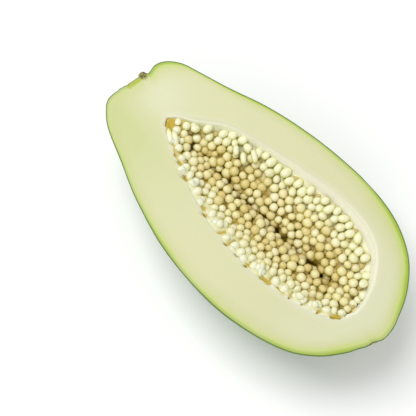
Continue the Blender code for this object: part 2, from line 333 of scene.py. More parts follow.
class Maker:  # adds nodes to a tree and joins them
    def __init__(self, tree):
        self.tree = tree

    def add(self, kind, inputs=None, **settings):
        node = self.tree.nodes.new(kind)
        for key, value in settings.items():
            setattr(node, key, value)
        for key, value in (inputs or {}).items():
            socket = node.inputs[key]
            if isinstance(value, bpy.types.NodeSocket):
                self.tree.links.new(value, socket)
            else:
                socket.default_value = value
        return node

    def attribute(self, name):
        return self.add("ShaderNodeAttribute", attribute_name=name).outputs["Fac"]

    def objectPlace(self):
        return self.add("ShaderNodeTexCoord").outputs["Object"]

    def ramp(self, value, stops, interpolation="EASE"):
        node = self.add("ShaderNodeValToRGB", {"Fac": value})
        node.color_ramp.interpolation = interpolation
        while len(node.color_ramp.elements) < len(stops):
            node.color_ramp.elements.new(1.0)
        for element, (place, colour) in zip(node.color_ramp.elements, stops):
            element.position = place
            element.color = (*colour, 1.0)
        return node.outputs["Color"]

    def span(self, value, low, high, lowOut=0.0, highOut=1.0):
        node = self.add(
            "ShaderNodeMapRange",
            {"Value": value, "From Min": low, "From Max": high, "To Min": lowOut, "To Max": highOut},
            interpolation_type="SMOOTHSTEP",
        )
        return node.outputs["Result"]

    def math(self, operation, a, b=0.0):
        return self.add("ShaderNodeMath", {0: a, 1: b}, operation=operation).outputs["Value"]

    def times(self, a, b):
        return self.math("MULTIPLY", a, b)

    def mix(self, factor, a, b):
        node = self.add("ShaderNodeMix", data_type="RGBA")
        for socket, value in ((node.inputs[0], factor), (node.inputs[6], a), (node.inputs[7], b)):
            if isinstance(value, bpy.types.NodeSocket):
                self.tree.links.new(value, socket)
            else:
                socket.default_value = value if not isinstance(value, tuple) else (*value, 1.0)
        return node.outputs[2]

    def noise(self, place, scale, detail=3.0, roughness=0.55, distortion=0.0):
        node = self.add(
            "ShaderNodeTexNoise",
            {"Vector": place, "Scale": scale, "Detail": detail, "Roughness": roughness, "Distortion": distortion},
        )
        return node.outputs["Fac"]

    def bump(self, height, strength, distance):
        return self.add(
            "ShaderNodeBump", {"Height": height, "Strength": strength, "Distance": distance}
        ).outputs["Normal"]

    def softSurface(self, look, colour, height):
        self.surface(
            {
                "Base Color": colour,
                "Roughness": look["roughness"],
                "Specular IOR Level": look["specular"],
                "Subsurface Weight": look["subsurface"],
                "Subsurface Radius": look["subsurfaceRadius"],
                "Subsurface Scale": 1.0,
                "Normal": self.bump(height, *look["bump"]),
            }
        )

    def surface(self, inputs):
        shader = self.add("ShaderNodeBsdfPrincipled", inputs)
        self.add("ShaderNodeOutputMaterial", {"Surface": shader.outputs["BSDF"]})


# Cloudy variation in two sizes, used by every material of the fruit
def makeMottleGroup():
    tree = bpy.data.node_groups.new("softMottle", "ShaderNodeTree")
    for name in ("Cloud Scale", "Grain Scale", "Grain Share"):
        tree.interface.new_socket(name=name, in_out="INPUT", socket_type="NodeSocketFloat")
    tree.interface.new_socket(name="Place", in_out="INPUT", socket_type="NodeSocketVector")
    tree.interface.new_socket(name="Cloud", in_out="OUTPUT", socket_type="NodeSocketFloat")
    tree.interface.new_socket(name="Height", in_out="OUTPUT", socket_type="NodeSocketFloat")
    m = Maker(tree)
    given = m.add("NodeGroupInput").outputs
    cloud = m.noise(given["Place"], given["Cloud Scale"], 3.0, 0.5)
    grain = m.noise(given["Place"], given["Grain Scale"], 2.0, 0.6)
    kept = m.times(grain, given["Grain Share"])
    m.add("NodeGroupOutput", {"Cloud": cloud, "Height": m.math("ADD", cloud, kept)})
    return tree


mottleGroup = makeMottleGroup()


def addMottle(m, place, sizes):
    inputs = {"Place": place, **dict(zip(("Cloud Scale", "Grain Scale", "Grain Share"), sizes))}
    outputs = m.add("ShaderNodeGroup", inputs, node_tree=mottleGroup).outputs
    return outputs["Cloud"], outputs["Height"]


fleshLook = {
    "rind": (0.13, 0.20, 0.008),  # at the skin
    "green": (0.31, 0.435, 0.035),
    "paleGreen": (0.49, 0.56, 0.165),
    "yellow": (0.545, 0.56, 0.285),
    "cream": (0.585, 0.587, 0.345),
    "white": (0.63, 0.625, 0.45),  # beside the cavity
    # painted highlight along the rounded rim of the cavity
    "lipHighlight": (0.74, 0.73, 0.56),
    # the cavity's wall: whitish, and lightened further as painted light against the shade on its steep slope
    "wall": (0.85, 0.835, 0.69),
    "wallStem": (0.79, 0.82, 0.58),  # the wall near the stalk
    "pit": (0.44, 0.30, 0.022),
    "collar": (0.36, 0.41, 0.022),  # behind the stalk's scar
    "knob": (0.26, 0.25, 0.016),
    "knobDark": (0.085, 0.065, 0.005),
    "stemSide": (0.47, 0.51, 0.195),  # greener on the -Y side of the stalk's end
    "paleEnd": (0.605, 0.615, 0.40),  # under the stalk and at the blossom end
    "warm": (0.60, 0.585, 0.365),  # in soft clouds over the rest
    # colours by their distance from the skin, in mm
    "bands": (
        (0.0, "rind"), (0.2, "rind"), (0.7, "green"), (1.44, "green"),
        (3.2, "paleGreen"), (6.8, "yellow"), (15.0, "cream"),
    ),
    "bandReach": 20.0,
    "bandWobble": 0.10,
    "mottle": (38.0, 900.0, 0.25),  # scale of the clouds, scale of the grain, share of the grain
    "bump": (0.25, 0.0004),  # strength and distance
    "roughness": 0.42,
    "specular": 0.35,
    "subsurface": 0.15,
    "subsurfaceRadius": (0.006, 0.005, 0.002),
}


def makeFleshMaterial():
    look = fleshLook
    material, m = newMaterial("papayaFleshCut")
    place = m.objectPlace()
    cloud, height = addMottle(m, place, look["mottle"])
    wobble = m.times(m.math("SUBTRACT", cloud, 0.5), look["bandWobble"])
    rindDepth = m.attribute("rindDepth")
    kept = m.span(rindDepth, 0.0, 3.0)
    depth = m.math("ADD", m.math("DIVIDE", rindDepth, look["bandReach"]), m.times(wobble, kept))
    colour = m.ramp(depth, [(away / look["bandReach"], look[name]) for away, name in look["bands"]], "LINEAR")
    warm = m.noise(place, 14.0, 2.0)
    colour = m.mix(m.span(warm, 0.35, 0.65, 0.0, 0.35), colour, look["warm"])
    colour = m.mix(m.attribute("stemSide"), colour, look["stemSide"])
    colour = m.mix(m.times(m.attribute("paleEnd"), m.span(rindDepth, 3.0, 14.0)), colour, look["paleEnd"])
    nearCavity = m.span(m.attribute("rimDistance"), 8.0, 0.0)
    keep = m.span(rindDepth, 2.0, 9.0)
    colour = m.mix(m.times(nearCavity, m.times(keep, 0.8)), colour, look["white"])
    # painted highlight: a lighter band on the rounded rim of the cavity
    lipHighlight = m.span(m.attribute("rimDistance"), 2.2, 0.3)
    colour = m.mix(m.times(lipHighlight, keep), colour, look["lipHighlight"])
    # the wall's colour holds painted light that lifts the shade on the steep wall
    wall = m.mix(m.attribute("wallStem"), look["wall"], look["wallStem"])
    colour = m.mix(m.span(m.attribute("wallDepth"), 0.3, 2.0), colour, wall)
    colour = m.mix(m.attribute("pit"), colour, look["pit"])
    colour = m.mix(m.attribute("collar"), colour, look["collar"])
    patchy = m.mix(m.span(m.noise(place, 520.0, 3.0), 0.42, 0.6), look["knobDark"], look["knob"])
    colour = m.mix(m.attribute("knob"), colour, patchy)
    m.softSurface(look, colour, height)
    return material


skinLook = {
    "dark": (0.012, 0.080, 0.006),
    "green": (0.028, 0.175, 0.010),
    "light": (0.085, 0.29, 0.018),
    "yellow": (0.27, 0.42, 0.035),
    "scar": (0.20, 0.16, 0.025),
    "scarDark": (0.045, 0.030, 0.008),
    "inner": (0.085, 0.165, 0.004),  # the side towards the flesh, and the edge in the cut
    "streakStretch": 0.16,  # along the fruit
    "streakScale": 95.0,
    "speckScale": 230.0,
    "mottle": (26.0, 700.0, 0.15),
    "bump": (0.30, 0.0008),
    "roughness": (0.24, 0.75),  # of the skin, of the scars
    "coat": 0.35,
    "coatRoughness": 0.10,
}


def makeSkinMaterial():
    look = skinLook
    material, m = newMaterial("papayaSkinWaxy")
    place = m.objectPlace()
    # streaks run from end to end and meet at the scars
    x = m.add("ShaderNodeSeparateXYZ", {"Vector": place}).outputs["X"]
    along = m.times(x, look["streakStretch"])
    long = m.add(
        "ShaderNodeCombineXYZ", {"X": along, "Y": m.attribute("aroundCos"), "Z": m.attribute("aroundSin")}
    ).outputs["Vector"]
    streak = m.noise(long, look["streakScale"], 4.0, 0.6, 0.4)
    cloud, height = addMottle(m, place, look["mottle"])
    colour = m.ramp(cloud, [(0.30, look["dark"]), (0.50, look["green"]), (0.72, look["light"])])
    colour = m.mix(m.span(streak, 0.45, 0.75, 0.0, 0.55), colour, look["light"])
    blossom = m.attribute("blossom")
    paleStreak = m.times(blossom, m.span(streak, 0.38, 0.62))
    colour = m.mix(m.times(paleStreak, 0.42), colour, look["yellow"])
    specks = m.add("ShaderNodeTexVoronoi", {"Vector": place, "Scale": look["speckScale"]}).outputs["Distance"]
    colour = m.mix(m.span(specks, 0.16, 0.06, 0.0, 0.45), colour, look["yellow"])
    colour = m.mix(m.attribute("skinDepth"), colour, look["inner"])
    scar = m.attribute("scar")
    cork = m.ramp(m.noise(place, 600.0, 4.0, 0.7), [(0.35, look["scarDark"]), (0.6, look["scar"])])
    colour = m.mix(scar, colour, cork)
    lumps = m.math("ADD", height, m.times(m.noise(long, 60.0, 2.0), 0.8))
    coat = m.span(m.math("MAXIMUM", scar, m.attribute("skinDepth")), 0.0, 0.7, look["coat"], 0.0)
    m.surface(
        {
            "Base Color": colour,
            "Roughness": m.span(scar, 0.0, 1.0, *look["roughness"]),
            "Coat Weight": coat,
            "Coat Roughness": look["coatRoughness"],
            "Normal": m.bump(lumps, *look["bump"]),
        }
    )
    return material


seedLook = {
    "tip": (0.75, 0.685, 0.36),
    "pale": (0.80, 0.76, 0.50),
    "tan": (0.62, 0.49, 0.17),
    # painted shade on the sides and underside of each seed, olive at the sides and brown underneath
    "flankShade": (0.63, 0.53, 0.085),
    "under": (0.42, 0.30, 0.022),
    "rimTip": (0.79, 0.775, 0.52),
    # painted shade on the sides and undersides of the rims' seeds, in lighter colours
    "rimFlankShade": (0.70, 0.69, 0.27),
    "nearTip": (0.75, 0.745, 0.53),
    "nearFlankShade": (0.70, 0.68, 0.32),
    "rimUnderShade": (0.62, 0.56, 0.16),
    # painted shade for seeds deep in the valley and for the whole lower layer, on their tops and on their sides
    "deepShade": (0.48, 0.35, 0.085),
    "deepFlankShade": (0.34, 0.23, 0.020),
    "mottle": (300.0, 1500.0, 0.3),
    "bump": (0.2, 0.0003),
    "roughness": 0.34,
    "specular": 0.4,
    "subsurface": 0.28,
    "subsurfaceRadius": (0.003, 0.0024, 0.0011),
}


def makeSeedMaterial():
    look = seedLook
    material, m = newMaterial("papayaSeedCoat")
    _, height = addMottle(m, m.objectPlace(), look["mottle"])
    up = m.attribute("seedUp")  # 1 on top of a seed, -1 under it
    tone = m.attribute("seedTone")
    rim = m.attribute("seedRim")
    side = m.attribute("seedSide")
    tip = m.mix(m.span(tone, 0.35, 0.0), look["tip"], look["pale"])
    tip = m.mix(m.span(tone, 0.5, 1.0, 0.0, 0.75), tip, look["tan"])
    tip = m.mix(rim, tip, m.mix(side, look["nearTip"], look["rimTip"]))
    # painted shade: deeper seeds turn darker and browner
    deepShade = m.attribute("seedDeepShade")
    tip = m.mix(m.times(m.math("POWER", deepShade, 4.0), 0.8), tip, look["deepShade"])
    flankShade = m.mix(rim, look["flankShade"], m.mix(side, look["nearFlankShade"], look["rimFlankShade"]))
    flankShade = m.mix(m.times(deepShade, 0.85), flankShade, look["deepFlankShade"])
    # painted shade by seedUp: the top keeps the tip colour, the sides turn darker and the underside darkest
    colour = m.mix(m.span(up, 0.72, 0.2), tip, flankShade)
    colour = m.mix(m.span(up, 0.2, -0.35), colour, m.mix(rim, look["under"], look["rimUnderShade"]))
    m.softSurface(look, colour, height)
    return material


bedLook = {
    # painted shade along the trough where the seeds of both sides meet
    "dark": (0.20, 0.115, 0.008),
    "brown": (0.36, 0.235, 0.016),
    "ochre": (0.62, 0.50, 0.070),
    "farPale": (0.74, 0.72, 0.45),
    "nearPale": (0.74, 0.72, 0.42),
    "pit": (0.50, 0.36, 0.030),
    "mottle": (160.0, 900.0, 0.4),
    "bump": (0.5, 0.0008),
    "roughness": 0.4,
}


def makeBedMaterial():
    look = bedLook
    material, m = newMaterial("papayaSeedBed")
    cloud, height = addMottle(m, m.objectPlace(), look["mottle"])
    share = m.attribute("bedShare")
    # painted shade: darkest along the trough, giving way to brown further out
    low = m.mix(m.span(m.math("ABSOLUTE", share), 0.06, 0.34), look["dark"], look["brown"])
    colour = m.mix(m.span(cloud, 0.40, 0.60), low, look["ochre"])
    colour = m.mix(m.span(share, 0.30, 0.72), colour, look["farPale"])
    colour = m.mix(m.span(share, -0.55, -0.85), colour, look["nearPale"])
    colour = m.mix(m.attribute("pit"), colour, look["pit"])
    m.surface({"Base Color": colour, "Roughness": look["roughness"], "Normal": m.bump(height, *look["bump"])})
    return material


fleshMaterial = makeFleshMaterial()
skinMaterial = makeSkinMaterial()
seedMaterial = makeSeedMaterial()
bedMaterial = makeBedMaterial()
print("materials made")


# Relief of the skin, in mm along its normal
relief = {
    "lumpSize": 26.0,
    "lumpHeight": 0.35,
    "endLumpSize": 6.5,
    "endLumpHeight": 0.5,
    "endReach": (22.0, 16.0),  # how far the lumps of the ends go, at the blossom and at the stalk
    "stemShare": 0.8,
    "knobPlace": (1.9, 6.0, -0.4),
    "knobRadius": 3.6,
    "knobHeight": 2.6,
    "discCentre": (0.5, 1.4, 0.0),
    "discRadius": 8.0,
    "discEdge": 1.2,
    "discHeight": 0.9,
    # two small bumps beside the disc: place, radius, height
    "bumps": (((-1.3, -8.2, -0.5), 2.4, 0.8), ((-1.6, -11.5, -1.0), 2.2, 0.9)),
    "blossomPlace": (238.0, 3.0, -1.0),
    "creaseDepth": 1.1,
    "creaseReach": 13.0,
    "creaseStart": 3.0,
    "creaseTurn": 0.9,  # radians
    "blossomPit": (1.0, 3.2),  # depth and radius
    # corky places: centre, radius, width of the edge, strength
    "scars": (("discCentre", 8.6, 1.5, 0.75), ("knobPlace", 4.4, 1.2, 1.0), ("blossomPlace", 4.2, 1.6, 1.0)),
}


def skinNormals(p, points):
    step = 1e-3
    helper = np.where(np.abs(p[:, 2:3]) < 0.9, np.array([[0, 0, 1.0]]), np.array([[1.0, 0, 0]]))
    a = np.cross(p, helper)
    a /= np.linalg.norm(a, axis=1)[:, None]
    b = np.cross(p, a)
    pa = p + a * step
    pb = p + b * step
    da = skinPoints(pa / np.linalg.norm(pa, axis=1)[:, None]) - points
    db = skinPoints(pb / np.linalg.norm(pb, axis=1)[:, None]) - points
    n = np.cross(da, db)
    n /= np.maximum(np.linalg.norm(n, axis=1)[:, None], 1e-12)
    outward = np.sum(n * (points - np.array(fruit["middle"])), 1)
    n[outward < 0] *= -1
    return n


def distanceTo(points, place):
    return np.linalg.norm(points - np.array(place), axis=1)


def hill(distance, width):  # 1 in the middle, falling off like a bell
    return np.exp(-((distance / width) ** 2))


def skinRelief(points):
    r = relief
    endDistance = distanceTo(points, r["blossomPlace"])
    stemDistance = distanceTo(points, r["discCentre"])
    endReach, stemReach = r["endReach"]
    ends = hill(endDistance, endReach) + r["stemShare"] * hill(stemDistance, stemReach)
    out = r["lumpHeight"] * softNoise(points, r["lumpSize"], 1)
    out = out + r["endLumpHeight"] * softNoise(points, r["endLumpSize"], 2) * ends
    # five creases run into the blossom scar, which is a shallow pit
    offset = points - np.array(r["blossomPlace"])
    around = np.arctan2(offset[:, 2], offset[:, 1])
    crease = np.clip(np.cos(5 * around + r["creaseTurn"]), 0, 1) ** 6
    out -= r["creaseDepth"] * crease * hill(endDistance, r["creaseReach"]) * fade(endDistance, 0.0, r["creaseStart"])
    pitDepth, pitRadius = r["blossomPit"]
    out -= pitDepth * hill(endDistance, pitRadius)
    # the corky disc and the end of the stalk
    disc = fade(stemDistance, r["discRadius"], r["discRadius"] - r["discEdge"])
    out += r["discHeight"] * disc * (3 - 2 * disc) * disc
    knobDistance = distanceTo(points, r["knobPlace"])
    out += r["knobHeight"] * np.clip(1 - (knobDistance / r["knobRadius"]) ** 2, 0, 1) ** 0.6
    for place, radius, height in r["bumps"]:
        out += height * np.clip(1 - (distanceTo(points, place) / radius) ** 2, 0, 1)
    return out


def scarMask(points):
    mask = np.zeros(len(points))
    for centre, radius, edge, strength in relief["scars"]:
        away = distanceTo(points, relief[centre])
        mask = np.maximum(mask, strength * np.clip((radius - away) / edge, 0, 1))
    return mask


# The skin: a bowl bisected from a sphere, wrapped on the fruit and given its thickness inwards
skinPiece = {
    "segments": 400,
    "rings": 128,
    "rimDrop": 0.1,  # its edge, under the plane of the cut
    "edgeDepth": 0.15,  # down to here the edge counts as cut
    "boxMargin": 0.02,  # kept free inside the box of the solids
    "streakRadius": 0.055,  # in m
    "blossomFrom": (150.0, 230.0),  # from x to x the skin turns paler
}


def makeSkin():
    obj = newBowl("papayaSkin", skinPiece["segments"], skinPiece["rings"])
    unit = meshPoints(obj)
    points = skinPoints(unit)
    normals = skinNormals(unit, points)
    normals[points[:, 2] > -1.0, 2] = 0
    normals /= np.linalg.norm(normals, axis=1)[:, None]
    placed = points + normals * skinRelief(points)[:, None]
    placed[:, 2] = np.clip(placed[:, 2], -fruit["cutHeight"], -skinPiece["rimDrop"])
    setPoints(obj, toFrame(placed))
    around = np.arctan2(-unit[:, 2], unit[:, 1])
    setAttribute(obj, "aroundCos", skinPiece["streakRadius"] * np.cos(around))
    setAttribute(obj, "aroundSin", skinPiece["streakRadius"] * np.sin(around))
    setAttribute(obj, "scar", scarMask(points))
    setAttribute(obj, "blossom", fade(points[:, 0], *skinPiece["blossomFrom"]))
    solid = obj.modifiers.new("rindThickness", "SOLIDIFY")
    solid.thickness = fruit["skinThickness"] * mm
    solid.offset = -1.0
    applyModifiers(obj)
    margin = skinPiece["boxMargin"]
    low = np.array(cadBox[0]) + np.array([margin, margin, 0]) * mm
    high = np.array(cadBox[1]) - np.array([margin, margin, skinPiece["rimDrop"]]) * mm
    final = np.clip(meshPoints(obj), low, high)
    setPoints(obj, final)
    inside = np.arange(len(final)) >= len(points)
    inCut = final[:, 2] > (fruit["cutHeight"] - skinPiece["edgeDepth"]) * mm
    setAttribute(obj, "skinDepth", (inside | inCut) * 1.0)
    finishMesh(obj, skinMaterial)
    return obj


# The flesh: the same bowl inside the skin, its edge extruded over the cut face and down the cavity's wall
fleshPiece = {
    "segments": 960,
    "rings": 60,
    "faceRings": 24,
    "wallRings": 20,
    "inset": 0.35,  # inside the skin's surface
    "edgeDrop": 0.12,  # the face's outer edge, under the plane
    "faceDrop": 0.10,
    "faceWave": (0.16, 14.0),  # height and size of the face's waves
    "raggedRim": (0.9, 2.8),  # on the -Y side: how far, and the size of the steps
    "wavyRim": (0.45, 9.0),
    "farSide": (4.0, 12.0),  # the rim turns softer between these values of y
    "pitDepth": (1.7, 1.5),  # in the face, in the wall
    "pitReach": 5.0,  # how far the pits go down the wall
    "raggedReach": 7.0,
    # where the colours change
    "wallStem": (118.0, 58.0, 0.8),  # greener from x to x, at most
    "stemSide": (12.0, 54.0, 4.0, -22.0, 0.8),  # x, width, from y to y, at most
    "stemSpot": (22.0, 15.0, 8.0, 14.0),  # x, width, y, width
    "paleEnd": (178.0, 218.0),
    "knob": (1.3, 6.3, 3.2),  # x, y, radius
    "collar": (0.5, 0.2, 8.6),
    "collarReach": 3.7,  # from the skin inwards
    # pits between the seed stalks on the -Y rim: from x, y to x, y, radius, in mm
    "pits": (
        (39.8, -3.0, 37.9, -0.8, 2.7), (59.0, -13.1, 59.6, -13.2, 1.2), (64.3, -14.2, 65.9, -14.5, 1.4),
        (75.1, -18.4, 77.3, -17.8, 1.8), (85.4, -16.4, 91.6, -16.0, 0.9), (98.0, -22.6, 99.4, -21.7, 1.2),
        (103.1, -24.9, 104.6, -24.1, 1.4), (118.1, -25.9, 119.8, -21.2, 0.9), (127.4, -26.6, 128.3, -25.6, 1.5),
        (127.9, -25.6, 129.4, -20.0, 0.9), (136.0, -26.5, 139.2, -26.2, 0.6), (146.7, -26.2, 147.1, -25.0, 1.5),
        (146.8, -25.5, 147.5, -20.1, 0.8), (159.1, -23.6, 165.2, -22.2, 1.4), (163.6, -22.0, 163.4, -14.0, 1.2),
        (169.7, -19.6, 175.5, -19.6, 0.8), (180.7, -18.4, 179.3, -13.9, 1.0), (189.2, -15.3, 190.0, -6.8, 0.9),
        (199.6, -11.2, 199.6, -7.2, 0.9), (207.5, -5.6, 210.8, -2.2, 1.7),
    ),
}


def pitMask(x, y, spare=0.0):  # 1 in the middle of a pit, 0 past its radius
    found = np.zeros(np.shape(x))
    for x1, y1, x2, y2, radius in fleshPiece["pits"]:
        length = (x2 - x1) ** 2 + (y2 - y1) ** 2
        along = np.clip(((x - x1) * (x2 - x1) + (y - y1) * (y2 - y1)) / length, 0, 1)
        away = np.hypot(x - x1 - along * (x2 - x1), y - y1 - along * (y2 - y1)) / (radius + spare)
        found = np.maximum(found, np.clip(2.2 * (1 - away ** 2), 0, 1))
    return found


def rimShape(around):  # the cavity's edge in the cut, and the way that leads out of it
    level = np.stack([np.cos(around), np.sin(around), np.zeros(len(around))], 1)
    rim = cavityPoints(level)
    farY, nearY, _ = sectionAt(rim[:, 0])
    centre = np.stack([np.clip(rim[:, 0], 62, 196), 0.45 * (farY + nearY), np.zeros(len(rim))], 1)
    away = rim - centre
    away /= np.maximum(np.linalg.norm(away, axis=1)[:, None], 1e-9)
    nearSide = np.clip((0.5 * (farY + nearY) - rim[:, 1]) / 6.0, 0, 1)
    ragged, raggedSize = fleshPiece["raggedRim"]
    wavy, wavySize = fleshPiece["wavyRim"]
    push = ragged * softNoise(rim, raggedSize, 3) * nearSide + wavy * softNoise(rim, wavySize, 4)
    return rim, away, push


def makeFlesh():
    f = fleshPiece
    segments, faceRings, wallRings = f["segments"], f["faceRings"], f["wallRings"]
    obj = newBowl("papayaFlesh", segments, f["rings"])
    unit = meshPoints(obj)
    bowlCount = len(unit)
    extrudeEdge(obj, faceRings + wallRings, unit[:, 2] > -1e-5)
    unit = meshPoints(obj)
    step = np.maximum(np.arange(len(unit)) - bowlCount + segments, 0) // segments  # 0 on the bowl, then a loop each
    around = np.arctan2(unit[:, 1], unit[:, 0])

    outside = skinPoints(unit)
    normals = skinNormals(unit, outside)
    outside -= normals * f["inset"]
    outside[:, 2] = np.clip(outside[:, 2], -fruit["cutHeight"] + 0.3, -f["edgeDrop"])

    rim, away, push = rimShape(around)
    level = np.stack([np.cos(around), np.sin(around), np.zeros(len(around))], 1)
    edge = skinPoints(level)
    edgeNormals = skinNormals(level + np.array([0, 0, -1e-6]), edge)
    edgeNormals[:, 2] = 0
    edgeNormals /= np.linalg.norm(edgeNormals, axis=1)[:, None]
    edge = edge + edgeNormals * (skinRelief(edge) - f["inset"])[:, None]

    s = 0.5 - 0.5 * np.cos(math.pi * np.clip(step / faceRings, 0, 1))  # fine at the skin and at the cavity
    face = edge + (rim - edge) * s[:, None]
    face += away * (push * s ** 6)[:, None]
    pit = pitMask(face[:, 0], face[:, 1])
    waveHeight, waveSize = f["faceWave"]
    wave = waveHeight * (0.5 + 0.5 * softNoise(face, waveSize, 5)) * np.clip(s * 6, 0, 1)
    face[:, 2] = -f["faceDrop"] - wave - f["pitDepth"][0] * pit
    farSide = fade(face[:, 1], *f["farSide"])
    soft = 0.6 + 0.5 * farSide  # the rim is rounder on the +Y side
    face[:, 2] -= soft * np.clip((s - 0.96 + 0.05 * farSide) / (0.04 + 0.05 * farSide), 0, 1) ** 2

    down = np.clip((step - faceRings) / wallRings, 0, 1) ** 1.25 * 0.5 * math.pi
    ball = np.stack([np.cos(around) * np.cos(down), np.sin(around) * np.cos(down), -np.sin(down)], 1)
    wall = cavityPoints(ball)
    wall += away * (push * hill(wall[:, 2], f["raggedReach"]))[:, None]
    wallPit = pitMask(wall[:, 0], wall[:, 1]) * hill(wall[:, 2], f["pitReach"])
    wall[:, 2] -= soft + f["pitDepth"][1] * wallPit

    onFace = (step > 0) & (step <= faceRings)
    points = np.where((step == 0)[:, None], outside, np.where(onFace[:, None], face, wall))
    atEdge = (step == 0) & (unit[:, 2] > -1e-5)
    points[atEdge] = edge[atEdge]
    points[atEdge, 2] = -f["edgeDrop"]
    rindDepth = np.where(step == 0, 0.0, np.where(onFace, np.linalg.norm((face - edge)[:, :2], axis=1), 20.0))
    rimDistance = np.where(step > faceRings, 0.0, np.linalg.norm((face - rim)[:, :2], axis=1))
    setPoints(obj, toFrame(points))
    setAttribute(obj, "rindDepth", rindDepth)
    setAttribute(obj, "rimDistance", rimDistance)
    setAttribute(obj, "pit", np.where(step == 0, 0.0, np.where(onFace, pit, wallPit)))
    setAttribute(obj, "wallDepth", np.where(step > faceRings, -points[:, 2], 0))
    start, end, most = f["wallStem"]
    setAttribute(obj, "wallStem", np.minimum(fade(points[:, 0], start, end), most))
    x, y = face[:, 0], face[:, 1]
    middle, width, start, end, most = f["stemSide"]
    stemSide = most * hill(x - middle, width) * fade(y, start, end)
    setAttribute(obj, "stemSide", onFace * stemSide * np.clip(rindDepth / 5.0, 0, 1))
    spotX, spotLong, spotY, spotWide = f["stemSpot"]
    stemSpot = hill(x - spotX, spotLong) * hill(y - spotY, spotWide)
    setAttribute(obj, "paleEnd", onFace * np.maximum(stemSpot, fade(x, *f["paleEnd"])))
    knobX, knobY, knobRadius = f["knob"]
    setAttribute(obj, "knob", onFace * np.clip((knobRadius - np.hypot(x - knobX, y - knobY)) / 0.9, 0, 1))
    collarX, collarY, collarRadius = f["collar"]
    collar = np.clip((collarRadius - np.hypot(x - collarX, y - collarY)) / 2.0, 0, 1)
    setAttribute(obj, "collar", onFace * collar * np.clip((f["collarReach"] - rindDepth) / 1.6, 0, 1))
    finishMesh(obj, fleshMaterial)
    return obj


# The bed that the seeds sit on
bedPiece = {
    "segments": 240,
    "rings": 100,
    "thickness": 2.5,
    "centre": (130.0, 6.0, 0.0),
    "overlap": 0.6,  # past the rim, into the flesh
    "pitSpare": 0.3,
    "pitDepth": 1.6,
    "lumps": (0.6, 3.2),  # height and size
    "brownTip": (64.0, 56.0, 0.75),  # browner from x to x, towards the stalk, at most
}


def makeBed():
    obj = newSphere("seedBed", bedPiece["segments"], bedPiece["rings"])
    unit = meshPoints(obj)
    around = np.arctan2(unit[:, 1], unit[:, 0])
    share = np.clip(np.arccos(np.abs(unit[:, 2])) / (0.5 * math.pi), 0, 1)
    rim, away, push = rimShape(around)
    rim = rim + away * (np.maximum(push, 0) + bedPiece["overlap"])[:, None]
    centre = np.array(bedPiece["centre"])
    flat = centre + (rim - centre) * share[:, None]
    signed = bedShare(flat[:, 0], flat[:, 1])
    pit = pitMask(flat[:, 0], flat[:, 1], bedPiece["pitSpare"])
    raised = fade(np.abs(signed), *bed["riseFrom"])
    trough, slope = bed["sink"]
    sink = trough + (slope - trough) * fade(np.abs(signed), *bed["sinkFrom"])
    rise = np.where(signed > 0, bed["rimRise"][0], bed["rimRise"][1])
    depth = bedDepth(flat[:, 0], flat[:, 1]) + sink - rise * raised * raised * (3 - 2 * raised)
    x1, x2, high, low = bed["tip"]
    atTip = flat[:, 0] < x2
    depth = np.where(atTip, np.minimum(depth, high + (low - high) * (flat[:, 0] - x1) / (x2 - x1)), depth)
    lumpHeight, lumpSize = bedPiece["lumps"]
    lumps = lumpHeight * softNoise(flat, lumpSize, 6) * (1 - share ** 4)
    flat[:, 2] = -depth - bedPiece["pitDepth"] * pit * ~atTip + lumps
    under = unit[:, 2] < -1e-4
    flat[under, 2] -= bedPiece["thickness"] * (1 - share[under] ** 6)
    setPoints(obj, toFrame(flat))
    setAttribute(obj, "bedShare", signed)
    start, end, most = bedPiece["brownTip"]
    setAttribute(obj, "pit", np.maximum(pit, most * fade(flat[:, 0], start, end)))
    finishMesh(obj, bedMaterial)
    return obj


# Seeds: one drop-shaped bead, copied over the bed in two layers, longer and paler along both rims
seedPiece = {
    "pitch": (6.15, 6.0),  # upper layer, lower layer
    "rows": (50.0, 211.0),  # from x to x
    "jitter": 0.5,
    "radius": (2.95, 3.75),
    "farInset": 6.2,
    "farInsetFrom": (82.0, 110.0, 0.40),  # this share up to the first x, full from the second
    "nearInset": 2.6,
    "uneven": 1.6,  # how much further some of them keep from the rims
    "fullWidth": 45.0,  # the insets shrink where the cavity is narrower
    "lift": 0.75,
    "layerDrop": 3.6,
    "touch": 0.88,  # distance of two middles, as a share of the sum of their radii
    "rounds": 60,
    "pitMargin": 2.0,
    "firstMargin": 2.7,
    "draw": 11,
    # lean: from this share of the way to the rim on, power, at most; scatter of all directions
    "lean": (0.15, 1.2, 0.9),
    "scatter": 0.26,
    "middleX": 125.0,  # the seeds of both ends lean towards it
    "taper": 0.24,
    "tail": 0.16,
    "lumps": (0.09, 0.9),
    # at the stalk's end, given one by one: x, y, z, half the width
    "first": (
        (41.2, 4.0, -3.3, 3.2), (47.4, 6.4, -3.2, 3.3), (45.4, -0.6, -3.4, 3.2),
        (55.4, 1.2, -4.2, 3.2), (58.6, -3.2, -4.6, 3.1), (52.6, 9.8, -3.4, 3.2),
    ),
    # gaps in the upper layer over the trough: x, y, radius, in mm
    "gaps": (
        (54.6, -4.4, 2.4), (62.2, -0.1, 3.3), (85.3, 4.1, 3.9), (92.7, 6.5, 3.9),
        (106.1, 2.6, 4.2), (125.9, 7.9, 3.9), (139.4, 8.8, 4.9), (146.5, 8.7, 4.9),
        (169.0, 10.0, 4.6), (173.3, 13.5, 4.6), (181.4, 10.1, 4.2), (163.0, -17.0, 3.2),
    ),
}


def farInset(x):  # how far the seeds keep from the +Y rim; less near the stalk
    s = seedPiece
    start, end, least = s["farInsetFrom"]
    return s["farInset"] * (least + (1 - least) * fade(x, start, end))


